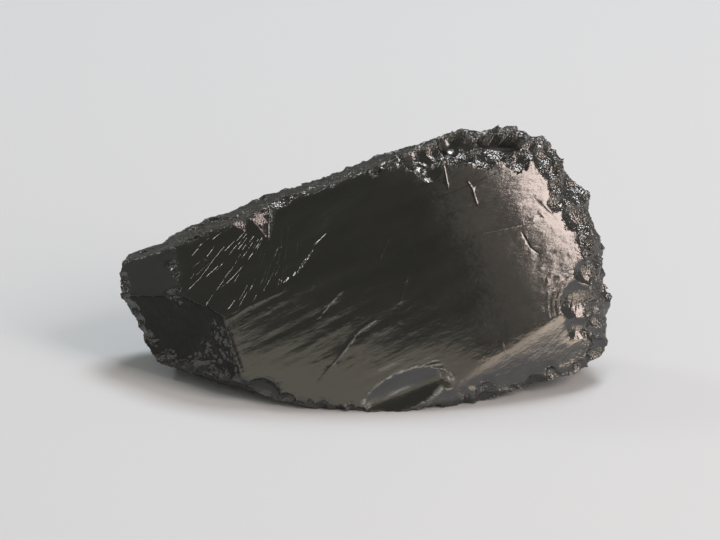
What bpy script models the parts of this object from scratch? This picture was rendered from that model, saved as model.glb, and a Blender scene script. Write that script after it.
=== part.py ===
"""A lump of anthracite, broken from the seam, standing on its flat underside.

The lump is one solid. A block is cleaved roughly to shape by flat cuts, and its
skin is then drawn onto the curved fracture surfaces that bound the real thing,
with the bites and ledges that later knocks took out of them.

The shape is drawn in the frame of the big glossy face: u runs across the lump, v
runs up the big face and w points out of it. FACE_LEAN tips that frame back until
the lump stands on its underside. Drawn sizes are in millimetres; the finished
mesh is in metres, with +Z up and the underside at z = 0.
"""

import math
import random
from dataclasses import dataclass

import bmesh
import bpy
import numpy as np
from mathutils import Vector, noise

# ---------------------------------------------------------------- driving sizes

LENGTH = 0.065              # tip to tip, in metres
FACE_LEAN = math.radians(21.0)
SOLE = -1.5                 # height of the flat underside in the drawing
HEART = (3.0, 11.0, 2.5)    # a point well inside, from which every surface is seen
BLOCK = 110.0               # edge of the block that the lump is cleaved from
SKIN_CELLS = (1.2, 0.5)     # spacing of the skin's vertices, first coarse, then fine
CREASE = 0.06               # rounding of the edges between fractures
TRIANGLES = 9200            # the finished solid's budget

SHARD = 1.7                 # width of a typical flake scar on a crushed face
SMALLER = 2.3               # how much finer the scars within the scars are
LEVEL = 0.45                # how unequal the scars' depths are
TILT = 1.0                  # how far they slant
HOLLOW = 0.35               # how hollow each is
PROUD = 0.35                # lifts the scars, so that their middle height is about nought
PATCH = 4.5                 # shards across a patch that is more, or less, crushed
UNEVEN = (0.75, 1.6)        # how crushed a patch is: on average, and how much it varies
MILD, SEVERE = 0.2, 1.25    # the least and most crushed a patch can be
ROLL = (0.9, 2.9)           # height of the slow swell under the shards, and shards across it

BEDDING = (-0.45, 0.85, 0.26)   # square to the layers the coal was laid down in
LAYERS = (1.3, 3.4)         # thinnest and thickest layer that weathers as one
PROTRUDES = 0.5             # how far a layer may stand proud or sit back
RISER = 0.25                # width of the step between two layers
REACH_OF_BEDS = (-45.0, 50.0)   # where the layers begin and end
BED_SEED = 8

CHIP_SEED = 4
STRAY = 0.35                # how far chips stray from the edge they belong to
CHIP_WIDTHS = (0.35, 1.0)   # smallest and widest chip, as shares of the widest there
SMALL_MORE = 1.5            # above 1, small chips outnumber wide ones
CHIP_DEPTHS = (0.08, 0.20)  # shallowest and deepest chip, as shares of its width
ASKEW = 0.5                 # how far a chip may lean

UP = (0.0, math.cos(FACE_LEAN), math.sin(FACE_LEAN))
DOWN = tuple(-x for x in UP)


# ------------------------------------------------------------ fracture surfaces

@dataclass
class Fracture:
    """One curved face: where it is, the way it looks, and the radii of its bow.

    bow is (across, up) in mm; a negative radius is hollow. rough is how crushed it
    is, and layered how far the bedding stands out of it, both in mm."""

    name: str
    at: tuple
    looks: tuple
    bow: tuple = (400.0, 400.0)
    rough: float = 0.0
    layered: float = 0.0


def side(name, start, end, depth, turn, bow=(400.0, 400.0), rough=0.0):
    """The break behind one stretch of the outline, taken clockwise from start to end.

    depth is the w at which it meets the outline; turn is how many degrees it faces
    forwards (or, below zero, how far it hides behind its own edge)."""
    (u0, v0), (u1, v1) = start, end
    run, rise = u1 - u0, v1 - v0
    length = math.hypot(run, rise)
    level, out = math.cos(math.radians(turn)), math.sin(math.radians(turn))
    at = ((u0 + u1) / 2, (v0 + v1) / 2, depth)
    return Fracture(name, at, (-rise / length * level, run / length * level, out), bow, rough)


FRACTURES = [
    # the front, from the big glossy face outwards
    Fracture("big_face", (-0.8, 8.7, 12.3), (0.0, 0.05, 1.0), (80, 90)),
    Fracture("lower_right", (20.0, 2.5, 9.7), (0.36, -0.17, 1.0), (80, 90)),
    Fracture("upper_left", (-8.7, 12.0, 11.7), (-0.437, 0.555, 1.0), (-200, -200)),
    Fracture("left_cheek", (-25.3, 8.3, 6.9), (-0.72, 0.42, 1.0), (300, 300)),
    # the sides, clockwise from the left tip
    side("left_tip", (-33.5, 14.7), (-29.9, 17.6), -1.5, 8, (200, 200), 0.35),
    side("top_left", (-29.5, 16.1), (4.6, 29.1), -3.5, 11, (-110, 300), 0.4),
    side("top_rise", (4.6, 31.2), (12.2, 32.8), 0.0, 14, (300, 300), 0.5),
    Fracture("top_right", (14.0, 29.5, 5.7), (0.03, 0.784, 0.62), (150, 150), 0.8),
    side("top_corner", (21.8, 32.0), (25.9, 29.8), 0.5, 24, (200, 200), 0.6),
    side("right_upper", (26.7, 30.0), (33.0, 18.7), 0.0, 33, (300, 100), 0.7),
    side("right_lower", (32.2, 18.4), (33.8, 3.6), 0.0, 27, (200, 300), 0.6),
    side("right_foot", (34.4, 3.8), (32.8, 0.4), 4.5, -25, (100, 100), 0.4),
    Fracture("under_right", (15.1, -4.9, 9.95), (0.19, -0.93, -0.25), (900, 900), 0.4),
    Fracture("under_left", (-8.7, -5.3, 11.6), (-0.11, -0.95, -0.25), (900, 900), 0.5),
    Fracture("low_rim_right", (15.1, -4.1, 10.0), (0.22, -0.76, 0.60), (400, 400), 0.35),
    Fracture("low_rim_left", (-7.0, -5.0, 11.6), (-0.14, -0.76, 0.62), (400, 400), 0.35),
    Fracture("left_lip", (-22.0, -0.7, 6.1), (-0.46, -0.80, 0.38), (400, 400), 0.35),
    side("left_foot", (-28.8, 1.0), (-33.1, 8.2), 1.5, -20, (200, 200), 0.4),
    side("left_end", (-32.3, 7.3), (-33.5, 13.8), -1.0, -20, (200, 200), 0.4),
    # the back
    Fracture("back_top", (12.0, 28.2, -2.5), (0.0, 0.72, -0.69), (200, 90), 0.8, 1.0),
    Fracture("back_left", (-26.0, 15.5, -6.0), (-0.30, 0.35, -0.88), (150, 90), 0.5, 1.2),
    Fracture("back_right", (28.0, 14.0, -3.5), (0.50, 0.25, -0.83), (90, 90), 0.9, 0.6),
    Fracture("back_low", (2.0, 10.0, -10.5), (0.05, -0.10, -1.0), (120, 120), 0.4, 1.2),
    Fracture("base", tuple(SOLE * x for x in UP), DOWN, (1e6, 1e6)),
]


# ------------------------------------------------------------- bites and ledges

@dataclass
class Bite:
    """A shell-shaped bite: the near side of an egg hung outside the lump.

    turn swings the egg's first two radii about w, in degrees. ripples are the
    height of the rings that spread from its middle, ring their spacing."""

    centre: tuple
    radii: tuple
    turn: float = 0.0
    ripples: float = 0.0
    ring: float = 0.8


def bitten(foot, looks, width, deep, ripples=0.0):
    """A round bite of the given width, sunk deep into the face that looks that way."""
    radius = (width ** 2 / 4 + deep ** 2) / (2 * deep)
    centre = np.asarray(foot) + unit(looks) * (radius - deep)
    return Bite(tuple(centre), (radius,) * 3, ripples=ripples)


def unit(vector):
    vector = np.asarray(vector, float)
    return vector / np.linalg.norm(vector)


BITES = [
    # the long shallow bite in the middle of the bottom edge
    Bite((6.6, -4.2, 19.16), (13.0, 8.2, 8.2), 25.0),
    # the rippled shell on the right edge, and the chips below and above it
    bitten((28.4, 8.6, 6.9), (0.45, 0.0, 0.9), 6.4, 0.9, 0.05),
    bitten((28.8, 5.0, 6.2), (0.30, -0.1, 0.9), 3.2, 0.4, 0.03),
    bitten((29.4, 11.9, 6.1), (0.45, 0.2, 0.8), 3.6, 0.6),
    bitten((31.2, 14.4, 3.8), (0.80, 0.1, 0.6), 3.4, 0.6),
    bitten((25.2, 21.4, 6.6), (0.45, 0.3, 0.8), 2.8, 0.4),
    bitten((27.6, 19.6, 5.2), (0.55, 0.3, 0.7), 3.2, 0.5),
    # the shell and its small neighbour where the top break begins
    bitten((7.4, 27.4, 8.2), (0.05, 0.5, 0.8), 4.6, 1.0, 0.05),
    bitten((8.3, 25.5, 9.0), (0.05, 0.3, 0.95), 2.2, 0.4),
    # the hollow beside them, and the dark trough in front of the rear ridge
    Bite((11.6, 30.2, 7.2), (2.3, 2.6, 3.0)),
    Bite((18.0, 29.6, 5.4), (3.2, 1.1, 1.9), -4.0),
    # knocks off the bottom edge
    bitten((16.2, -2.9, 9.7), (0.1, -0.5, 0.8), 2.6, 0.4),
    bitten((-13.4, -2.9, 10.7), (-0.3, -0.7, 0.6), 4.2, 0.9),
    bitten((-4.2, -5.9, 11.4), (0.0, -0.7, 0.7), 2.8, 0.4),
    bitten((22.5, -2.0, 7.6), (0.3, -0.8, 0.5), 3.0, 0.6),
    # the hidden side
    bitten((-8.0, 16.0, -9.6), (-0.1, 0.3, -0.95), 11.0, 1.6),
    bitten((19.0, 17.0, -8.4), (0.4, 0.3, -0.87), 9.0, 1.6, 0.08),
    bitten((7.0, 27.5, -3.8), (0.1, 0.75, -0.65), 7.0, 1.2),
]


@dataclass
class Ledge:
    """A corner knocked out by two flat breaks that meet: its floor and its wall."""

    floor_at: tuple
    floor_looks: tuple
    wall_at: tuple
    wall_looks: tuple


LEDGES = [
    # the dull lower left, down one step from the big face
    Ledge((-19.0, 6.4, 10.3), (-0.755, -0.35, 1.0), (-18.0, 3.0, 10.0), (-0.95, -0.28, 0.15)),
    # two bright chips on the upper left edge, each ending at a wall on its right
    Ledge((-14.7, 18.8, 4.9), (0.20, 1.0, 1.0), (-12.7, 18.8, 6.0), (-0.84, 0.20, 0.50)),
    Ledge((-17.9, 18.2, 4.0), (0.20, 1.0, 1.0), (-16.8, 18.2, 5.0), (-0.84, 0.20, 0.50)),
]

# Edges the lump has been knocked along, as (u, v) seen square to the big face, with
# the widest chip there and how many chips there are.
KNOCKED_EDGES = [
    ([(-32.6, 13.8), (-29.2, 16.6), (-16.0, 20.4), (-4.0, 24.2), (3.6, 27.4)], 2.0, 34),
    ([(3.6, 27.0), (8.0, 27.6), (15.0, 27.4), (22.6, 27.2)], 2.6, 20),
    ([(4.0, 29.0), (9.0, 30.8), (14.0, 31.4), (21.4, 31.2), (25.0, 29.0)], 2.8, 18),
    ([(22.6, 27.2), (26.0, 22.5), (28.6, 17.6), (29.8, 12.0)], 2.4, 24),
    ([(25.6, 28.4), (30.0, 21.0), (32.2, 16.0), (32.6, 8.0), (32.2, 3.6)], 3.0, 24),
    ([(29.6, 8.0), (29.8, 4.0), (30.6, 1.6)], 2.6, 12),
    ([(30.6, 1.4), (21.5, -2.7), (15.1, -4.1), (8.0, -5.4)], 1.7, 24),
    ([(0.0, -6.0), (-8.7, -4.7), (-13.9, -3.0), (-16.9, -1.6)], 1.7, 22),
    ([(-17.4, -1.4), (-22.0, -0.2), (-27.0, 1.0), (-31.4, 7.2), (-32.8, 12.0)], 1.9, 24),
    ([(-25.5, 9.0), (-25.9, 12.5), (-26.4, 16.4)], 1.2, 8),
]


# -------------------------------------------------------- reaching the surfaces

def across_and_up(normal):
    """Two directions in a face: the more level one, and the one square to it."""
    across = np.cross((0.0, 1.0, 0.0), normal)
    if np.linalg.norm(across) < 0.2:
        across = np.cross((0.0, 0.0, 1.0), normal)
    across = unit(across)
    return across, np.cross(normal, across)


def distance_to_face(at, looks, bow, rays):
    """How far along each ray from HEART a bowed face lies; infinite where it is missed."""
    normal = unit(looks)
    across, up = across_and_up(normal)
    start = np.asarray(HEART) - np.asarray(at)
    constant = start @ normal
    slope = rays @ normal
    square = np.zeros(len(rays))
    for axis, radius in ((across, bow[0]), (up, bow[1])):
        constant = constant + (start @ axis) ** 2 / (2 * radius)
        slope = slope + (start @ axis) * (rays @ axis) / radius
        square = square + (rays @ axis) ** 2 / (2 * radius)
    inside = slope ** 2 - 4 * square * constant
    reach = slope + np.sqrt(np.maximum(inside, 0.0))
    met = (inside > 0) & (reach > 1e-6)
    return np.where(met, -2 * constant / np.where(met, reach, 1.0), np.inf)


def distance_to_bite(bite, rays):
    """How far along each ray the near side of an egg lies; infinite where it is missed."""
    cosine, sine = math.cos(math.radians(bite.turn)), math.sin(math.radians(bite.turn))
    turn = np.array([(cosine, sine, 0.0), (-sine, cosine, 0.0), (0.0, 0.0, 1.0)])
    squash = turn / np.asarray(bite.radii)[:, None]
    offset = squash @ (np.asarray(bite.centre) - np.asarray(HEART))
    rays = rays @ squash.T
    square = (rays ** 2).sum(axis=1)
    along = rays @ offset
    inside = along ** 2 - square * (offset @ offset - 1.0)
    met = (inside > 0) & (along > 0)
    near = (along - np.sqrt(np.maximum(inside, 0.0))) / square
    if bite.ripples:
        aside = rays * near[:, None] - offset
        out = np.arccos(np.clip(-(aside @ unit(offset)), -1.0, 1.0)) * bite.radii[0]
        near = near + bite.ripples * np.sin(out * 2 * math.pi / bite.ring)
    return np.where(met, near, np.inf)


def distance_to_ledge(ledge, rays):
    flat = (1e6, 1e6)
    floor = distance_to_face(ledge.floor_at, ledge.floor_looks, flat, rays)
    wall = distance_to_face(ledge.wall_at, ledge.wall_looks, flat, rays)
    return np.maximum(floor, wall)


def soft_min(distances, rounding):
    """The nearest surface on each ray, with the creases rounded a little."""
    nearest = distances.min(axis=0)
    spread = np.exp(-(distances - nearest) / rounding).sum(axis=0)
    return nearest - rounding * np.log(spread)


def distances_to_faces(rays):
    return np.stack([distance_to_face(f.at, f.looks, f.bow, rays) for f in FRACTURES])


# ------------------------------------------------------------------ broken skin

def along(line, share):
    """The point a share of the way along a line of (u, v) points."""
    line = np.asarray(line)
    legs = np.linalg.norm(np.diff(line, axis=0), axis=1)
    walked = np.concatenate([(0.0,), np.cumsum(legs)]) / legs.sum()
    return np.interp(share, walked, line[:, 0]), np.interp(share, walked, line[:, 1])


def surface_under(u, v):
    """The front of the smooth lump at (u, v), by trying depths and keeping the outermost."""
    depths = np.linspace(14.0, -6.0, 161)
    points = np.column_stack([np.full_like(depths, u), np.full_like(depths, v), depths])
    reach = np.linalg.norm(points - np.asarray(HEART), axis=1)
    rays = (points - np.asarray(HEART)) / reach[:, None]
    spare = distances_to_faces(rays).min(axis=0) - reach
    return points[np.argmax(spare > 0)] if (spare > 0).any() else points[np.argmax(spare)]


def edge_chips():
    """Small bites scattered along the knocked edges."""
    dice = random.Random(CHIP_SEED)
    chips = []
    for line, widest, count in KNOCKED_EDGES:
        for k in range(count):
            share = (k + dice.uniform(0.0, 1.0)) / count
            u, v = along(line, share)
            foot = surface_under(u + dice.gauss(0, STRAY), v + dice.gauss(0, STRAY))
            width = widest * dice.uniform(*CHIP_WIDTHS) ** SMALL_MORE
            lean = [dice.uniform(-ASKEW, ASKEW) for _ in range(3)]
            looks = unit(foot - np.asarray(HEART)) + lean
            chips.append(bitten(foot, looks, width, width * dice.uniform(*CHIP_DEPTHS)))
    return chips


def swell(points):
    """Smooth noise between about -0.5 and 0.5, with swells about one unit long."""
    return np.array([noise.noise(point) for point in points.tolist()])


def flake_scars(points):
    """Flake scars about one unit wide: shallow shells at odd tilts that meet in ridges."""
    half = Vector((0.5, 0.5, 0.5))
    height = np.empty(len(points))
    for i, point in enumerate(points.tolist()):
        here = Vector(point)
        lowest = math.inf
        for centre in noise.voronoi(point, distance_metric="DISTANCE")[1]:
            tilt = noise.cell_vector(centre * 7.0) - half
            out = here - centre
            scar = LEVEL * tilt.x + TILT * tilt.dot(out) + HOLLOW * out.length_squared
            lowest = min(lowest, scar)
        height[i] = lowest
    return height


def crushed(points):
    """Height of the crushed coal at each point: large and small flake scars, in mm."""
    points = points / SHARD
    average, varies = UNEVEN
    patch = np.clip(average + varies * swell(points / PATCH), MILD, SEVERE)
    scars = flake_scars(points) + flake_scars(points * SMALLER) / SMALLER
    return SHARD * (scars + PROUD) * patch + ROLL[0] * swell(points / ROLL[1])


def layers(points):
    """How far each point's layer stands proud, in mm, with narrow risers between."""
    dice = random.Random(BED_SEED)
    across = points @ unit(BEDDING)
    height = np.zeros(len(points))
    level, here = 0.0, REACH_OF_BEDS[0]
    while here < REACH_OF_BEDS[1]:
        following = dice.uniform(-PROTRUDES, PROTRUDES)
        height = height + (following - level) * np.clip((across - here) / RISER, 0.0, 1.0)
        level = following
        here += dice.uniform(*LAYERS)
    return height


def skin(points):
    """Moves each point along its ray from HEART onto the broken surface."""
    rays = points - np.asarray(HEART)
    rays = rays / np.linalg.norm(rays, axis=1, keepdims=True)
    flat = distances_to_faces(rays)
    smooth = np.asarray(HEART) + rays * flat.min(axis=0)[:, None]
    rough = np.array([f.rough for f in FRACTURES])[:, None] * crushed(smooth)
    layered = np.array([f.layered for f in FRACTURES])[:, None] * layers(smooth)
    faces = flat + np.where(np.isfinite(flat), rough + layered, 0.0)
    reach = soft_min(faces, CREASE)
    for cut in [distance_to_ledge(ledge, rays) for ledge in LEDGES]:
        reach = soft_min(np.stack([reach, cut]), CREASE)
    for bite in BITES + edge_chips():
        reach = np.minimum(reach, distance_to_bite(bite, rays))
    return np.asarray(HEART) + rays * reach[:, None]


def stand_up(points):
    """From the big face's frame to the lump's own: tips it back onto its underside."""
    u, v, w = points.T
    sine, cosine = math.sin(FACE_LEAN), math.cos(FACE_LEAN)
    standing = np.column_stack([u, v * sine - w * cosine, v * cosine + w * sine - SOLE])
    standing[:, 2] = np.maximum(standing[:, 2], 0.0)
    return standing


# -------------------------------------------------------------------- modelling

def clear_scene():
    for thing in list(bpy.data.objects):
        bpy.data.objects.remove(thing)


def cleaved_block():
    """A cube cut down by the flat of every fracture."""
    block = bmesh.new()
    bmesh.ops.create_cube(block, size=BLOCK)
    for face in FRACTURES:
        geometry = block.verts[:] + block.edges[:] + block.faces[:]
        cut = bmesh.ops.bisect_plane(
            block, geom=geometry, plane_co=face.at, plane_no=face.looks, clear_outer=True
        )
        rim = [e for e in cut["geom_cut"] if isinstance(e, bmesh.types.BMEdge)]
        bmesh.ops.edgenet_fill(block, edges=rim)
    bmesh.ops.recalc_face_normals(block, faces=block.faces)
    mesh = bpy.data.meshes.new("coal_lump")
    block.to_mesh(mesh)
    block.free()
    return mesh


def evaluated(thing):
    """A new mesh with the object's modifiers applied."""
    view = bpy.context.evaluated_depsgraph_get()
    view.update()
    return bpy.data.meshes.new_from_object(thing.evaluated_get(view))


def apply_modifiers(thing):
    thing.data = evaluated(thing)
    thing.modifiers.clear()


def get_corners(mesh):
    flat = np.empty(len(mesh.vertices) * 3)
    mesh.vertices.foreach_get("co", flat)
    return flat.reshape(-1, 3)


def set_corners(mesh, points):
    mesh.vertices.foreach_set("co", points.ravel())
    mesh.update()


def draw_skin(lump):
    """Covers the block with even vertices and draws them onto the broken surface."""
    for cell in SKIN_CELLS:
        cover = lump.modifiers.new("cover", "REMESH")
        cover.mode = "VOXEL"
        cover.voxel_size = cell
        apply_modifiers(lump)
        set_corners(lump.data, skin(get_corners(lump.data)))


def to_size(points):
    """Scales the standing lump to LENGTH, centred over its foot."""
    low, high = points.min(axis=0), points.max(axis=0)
    middle = np.array([(low[0] + high[0]) / 2, (low[1] + high[1]) / 2, 0.0])
    return (points - middle) * LENGTH / (high[0] - low[0])


def thin_out(lump):
    thin = lump.modifiers.new("thin_out", "DECIMATE")
    thin.ratio = TRIANGLES / (2 * len(lump.data.polygons))
    thin.use_collapse_triangulate = True
    apply_modifiers(lump)


def coal_material():
    material = bpy.data.materials.new("coal")
    material.use_nodes = True
    shader = material.node_tree.nodes["Principled BSDF"]
    shader.inputs["Base Color"].default_value = (0.012, 0.012, 0.011, 1.0)
    shader.inputs["Roughness"].default_value = 0.22
    shader.inputs["Metallic"].default_value = 0.0
    material.diffuse_color = (0.03, 0.03, 0.03, 1.0)
    return material


def build():
    clear_scene()
    parts = bpy.data.collections.new("coal_lump")
    bpy.context.scene.collection.children.link(parts)
    lump = bpy.data.objects.new("coal_lump", cleaved_block())
    parts.objects.link(lump)

    draw_skin(lump)
    set_corners(lump.data, to_size(stand_up(get_corners(lump.data))))
    thin_out(lump)

    lump.data.name = "coal_lump"
    lump.data.materials.clear()
    lump.data.materials.append(coal_material())
    lump.data.shade_smooth()
    lump.data.set_sharp_from_angle(angle=math.radians(25))


build()
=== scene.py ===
# %% [markdown]
# # A lump of anthracite
#
# Anthracite is the hardest coal, and it breaks like thick glass: large smooth faces that
# mirror the room, shell-shaped chips, and edges crushed into sparkling splinters. The lump is
# one natural piece, so it is one mesh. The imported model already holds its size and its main
# breaks. Here the same breaks are drawn again on a much finer skin, with the relief that
# makes coal look like coal.

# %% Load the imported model
import math
import random
from dataclasses import dataclass

import bmesh
import bpy
import numpy as np
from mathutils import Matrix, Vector, noise


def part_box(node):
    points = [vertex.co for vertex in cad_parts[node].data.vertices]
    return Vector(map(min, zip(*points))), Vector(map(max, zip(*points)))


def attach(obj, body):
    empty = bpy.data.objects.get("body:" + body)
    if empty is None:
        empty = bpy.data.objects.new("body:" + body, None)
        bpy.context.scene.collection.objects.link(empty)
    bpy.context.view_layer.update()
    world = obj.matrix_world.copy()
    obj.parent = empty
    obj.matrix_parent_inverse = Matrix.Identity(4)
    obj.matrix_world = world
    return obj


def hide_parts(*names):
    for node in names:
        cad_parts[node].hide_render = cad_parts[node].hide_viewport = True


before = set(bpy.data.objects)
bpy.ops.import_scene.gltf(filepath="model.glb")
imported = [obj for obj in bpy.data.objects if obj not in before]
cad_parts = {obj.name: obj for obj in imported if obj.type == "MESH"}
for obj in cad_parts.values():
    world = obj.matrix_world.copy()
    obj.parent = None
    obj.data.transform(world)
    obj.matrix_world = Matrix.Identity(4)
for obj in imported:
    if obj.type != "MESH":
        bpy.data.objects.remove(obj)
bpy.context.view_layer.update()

# %% [markdown]
# ## The drawing
#
# The breaks are easiest to describe square to the big glossy face: u runs across the lump,
# v runs up that face and w points out of it, all in millimetres. Turning the finished object
# would stand it up too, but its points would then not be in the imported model's frame. So
# `stand_up` tips the points themselves back onto the underside, and `placed` sizes them.

# %% The frame of the drawing
FACE_LEAN = math.radians(21.0)
SOLE = -1.5                 # height of the flat underside in the drawing
DRAWN_LENGTH = 66.94        # tip to tip in the drawing
DRAWN_MIDDLE = (0.01, 2.08, 0.0)    # the standing drawing's middle, seen from above
UP = (0.0, math.cos(FACE_LEAN), math.sin(FACE_LEAN))
DOWN = tuple(-x for x in UP)


def stand_up(points):
    """From the big face's frame to the lump's own: tips it back onto its underside."""
    u, v, w = points.T
    sine, cosine = math.sin(FACE_LEAN), math.cos(FACE_LEAN)
    standing = np.column_stack([u, v * sine - w * cosine, v * cosine + w * sine - SOLE])
    standing[:, 2] = np.maximum(standing[:, 2], 0.0)
    return standing


def placed(points):
    """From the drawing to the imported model's own frame, in metres."""
    low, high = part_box("coal_lump")
    scale = (high[0] - low[0]) / DRAWN_LENGTH
    centre = np.array([(low[0] + high[0]) / 2, (low[1] + high[1]) / 2, 0.0])
    return (stand_up(np.asarray(points)) - DRAWN_MIDDLE) * scale + centre


print("the drawing leans back", round(math.degrees(FACE_LEAN)), "degrees")

# %% [markdown]
# ## The camera
#
# A camera that looks straight at the big face sees the drawing as it was made, so it takes
# its height from the same lean. It stands well back with a long lens, because a short lens
# close by would swell the near edge. `towards` and `aimed` will hang the lights as well.

# %% A camera square to the big face
LOOKS_AT = tuple(placed([(-0.8, 12.7, 5.5)])[0])    # the middle of the view
CAMERA_AWAY = 0.391         # in metres
LENS = 150.0                # in millimetres
NEAREST = 0.01              # nothing closer to the lens than this is seen, in metres


def towards(azimuth, elevation):
    """The direction from the lump to a place: 0 is the camera's side, 90 its right."""
    turn, rise = math.radians(azimuth), math.radians(elevation)
    level = math.cos(rise)
    return Vector((math.sin(turn) * level, -math.cos(turn) * level, math.sin(rise)))


def aimed(thing, azimuth, elevation, away):
    """Places a camera or a light at that distance, looking at the lump."""
    back = towards(azimuth, elevation)
    thing.location = Vector(LOOKS_AT) + back * away
    thing.rotation_euler = (-back).to_track_quat("-Z", "Y").to_euler()
    bpy.context.scene.collection.objects.link(thing)
    return thing


lens = bpy.data.cameras.new("camera")
lens.lens = LENS
lens.clip_start = NEAREST
camera = bpy.data.objects.new("camera", lens)
bpy.context.scene.camera = aimed(camera, 0.0, math.degrees(FACE_LEAN), CAMERA_AWAY)
print("the camera is", CAMERA_AWAY, "m away")

# %% [markdown]
# ## The floor
#
# The lump stands on a plain pale sheet. A sheet that curves up behind would hide the
# horizon, but the camera looks down on it, so one flat square that fills the view does as
# well.

# %% The floor
FLOOR_SIDE = 4.0            # in metres
FLOOR_COLOUR = (0.68, 0.715, 0.76, 1.0)
FLOOR_ROUGHNESS = 0.9
FLOOR_SHINE = 0.1           # a matt sheet reflects much less than the usual one half


def floor_material():
    material = bpy.data.materials.new("pale_floor")
    material.use_nodes = True
    shader = material.node_tree.nodes["Principled BSDF"]
    shader.inputs["Base Color"].default_value = FLOOR_COLOUR
    shader.inputs["Roughness"].default_value = FLOOR_ROUGHNESS
    shader.inputs["Specular IOR Level"].default_value = FLOOR_SHINE
    return material


sheet = bmesh.new()
bmesh.ops.create_grid(sheet, x_segments=1, y_segments=1, size=FLOOR_SIDE / 2)
floor_mesh = bpy.data.meshes.new("floor")
sheet.to_mesh(floor_mesh)
sheet.free()
floor = bpy.data.objects.new("floor", floor_mesh)
floor.data.materials.append(floor_material())
bpy.context.scene.collection.objects.link(floor)
print("the floor is", FLOOR_SIDE, "m across")

# %% [markdown]
# ## The lights
#
# A black mirror shows only what stands around it, so each light is chosen for the face that
# reflects it as much as for the light it throws. The big face looks back past the camera
# into the dim room. The faces turned to the right see a large warm softbox with the paler
# wall beside it, and the low ones see the bright table in front. A lamp overhead and a
# little behind throws the soft shadow, a smaller one nearly straight above picks out the
# upper rims, and two sparks light only the small slants that look their way.

# %% The lights
WATTS = 4.0                 # for each square metre of a panel whose glow is one
ROOM = (0.205, 0.205, 0.18, 1.0)    # what is reflected where no panel is


@dataclass
class Softbox:
    """A glowing panel: where it hangs, its size in metres, and how bright it looks."""

    name: str
    azimuth: float
    elevation: float
    away: float
    size: tuple
    glow: float
    tint: tuple


SOFTBOXES = [
    Softbox("overhead", 150.0, 62.0, 0.9, (0.30, 0.30), 11.0, (0.98, 0.99, 1.0)),
    Softbox("zenith", 180.0, 78.0, 0.9, (0.16, 0.16), 5.0, (1.0, 0.80, 0.72)),
    Softbox("right_window", 58.4, 34.5, 0.8, (0.28, 0.45), 6.2, (1.0, 0.83, 0.75)),
    Softbox("beside_window", 47.5, 34.0, 0.95, (0.56, 0.60), 0.24, (1.0, 0.86, 0.75)),
    Softbox("right_wall", 95.0, 30.0, 1.0, (0.60, 0.70), 0.13, (0.95, 0.98, 1.0)),
    Softbox("left_wall", -97.0, 29.0, 1.0, (0.30, 0.40), 0.08, (0.80, 0.90, 1.0)),
    Softbox("low_front", -6.0, 8.5, 0.5, (0.60, 0.15), 0.55, (1.0, 0.90, 0.72)),
    Softbox("low_right", 48.0, 1.0, 0.34, (0.26, 0.10), 1.9, (1.0, 0.82, 0.66)),
    Softbox("low_far_right", 60.0, 1.0, 0.33, (0.18, 0.10), 1.2, (1.0, 0.82, 0.66)),
    Softbox("low_spark", 13.0, 2.5, 0.4, (0.07, 0.035), 2.5, (1.0, 0.95, 0.92)),
    Softbox("left_spark", -122.0, 38.0, 0.8, (0.14, 0.14), 8.0, (1.0, 0.97, 0.93)),
]

for box in SOFTBOXES:
    panel = bpy.data.lights.new(box.name, "AREA")
    panel.shape = "RECTANGLE"
    panel.size, panel.size_y = box.size
    panel.color = box.tint
    panel.energy = WATTS * box.size[0] * box.size[1] * box.glow
    lamp = bpy.data.objects.new(box.name, panel)
    lamp.visible_camera = False
    aimed(lamp, box.azimuth, box.elevation, box.away)

world = bpy.data.worlds.new("dim_room")
bpy.context.scene.world = world
world.use_nodes = True
world.node_tree.nodes["Background"].inputs["Color"].default_value = ROOM
bpy.context.scene.view_settings.view_transform = "Standard"
print(len(SOFTBOXES), "softboxes")

# %% [markdown]
# ## The breaks that bound the lump
#
# Real coal is shaped by where it cracked. Sculpting would work too, but a list of breaks
# says what happened to the stone: each has a place, a direction, a bow and a roughness. A
# ray from the heart of the lump stops at the first break it meets, and that is the surface.

# %% One break, and one stretch of the sides
SLIGHT_BOW = (400.0, 400.0)
FLAT = (1e6, 1e6)           # a bow far too wide to notice


@dataclass
class Fracture:
    """One curved face: where it is, the way it looks, and the radii of its bow.

    bow is (across, up) in mm; a negative radius is hollow. rough is how crushed it
    is, layered how far the bedding stands out of it, and gloss how glassy it is."""

    name: str
    at: tuple
    looks: tuple
    bow: tuple = SLIGHT_BOW
    rough: float = 0.0
    layered: float = 0.0
    gloss: float = 0.5


def side(name, start, end, depth, turn, bow=SLIGHT_BOW, rough=0.0):
    """The break behind one stretch of the outline, taken clockwise from start to end.

    depth is the w at which it meets the outline; turn is how many degrees it faces
    forwards (or, below zero, how far it hides behind its own edge)."""
    (u0, v0), (u1, v1) = start, end
    run, rise = u1 - u0, v1 - v0
    length = math.hypot(run, rise)
    level, out = math.cos(math.radians(turn)), math.sin(math.radians(turn))
    at = ((u0 + u1) / 2, (v0 + v1) / 2, depth)
    return Fracture(name, at, (-rise / length * level, run / length * level, out), bow, rough)


# %% [markdown]
# ## The breaks of this lump
#
# The front has four glassy faces, each bowed like a piece of a large shell, and the upper
# left one is hollow. The sides and the back parted along weaker lines, so they are crushed,
# and the back shows its bedding too. Each is a line of the list, so that a face can be
# turned or moved without touching its neighbours: their edges find each other.

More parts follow.
